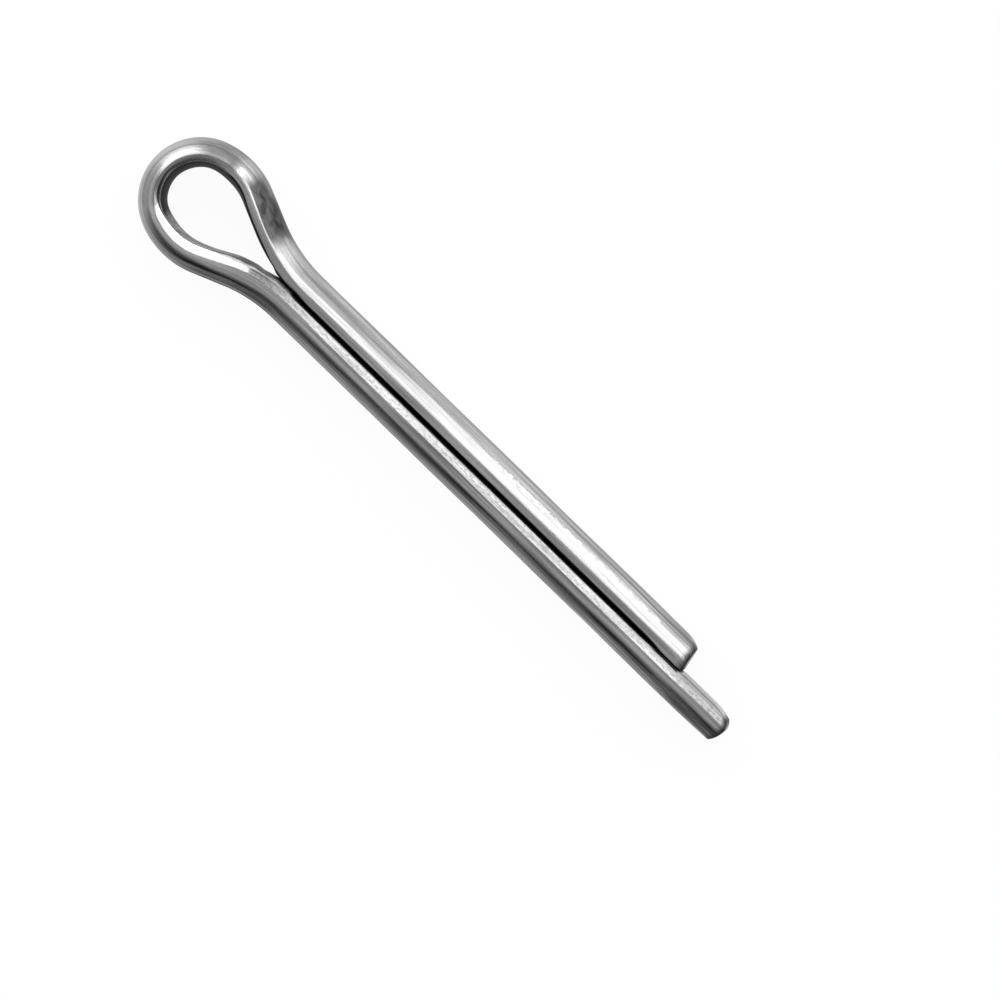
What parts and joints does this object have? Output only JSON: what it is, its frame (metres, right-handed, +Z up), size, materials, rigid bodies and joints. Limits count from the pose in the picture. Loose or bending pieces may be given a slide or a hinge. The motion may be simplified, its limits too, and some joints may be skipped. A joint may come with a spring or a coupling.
{
  "type": "cotter pin",
  "caption": "Split cotter pin of half-round steel wire folded round a pear-shaped eye, with sheared legs of unequal length that are bent open past a cross hole to lock a bolt or clevis.",
  "frame": {"origin": "on the shank's axis, where the long leg leaves the bend of the eye's neck", "axes": "+X along the shank from the eye to the tips, +Y across the split towards the short leg, +Z up, across the eye; the pin lies flat on its side as it rests on a table"},
  "size_m": [0.0362, 0.0058, 0.0028],
  "materials": {
    "plated_steel": "bright zinc plating over drawn low-carbon steel wire, with fine draw lines"
  },
  "bodies": {
    "root": {"cotter_pin": "plated_steel"}
  },
  "joints": []
}
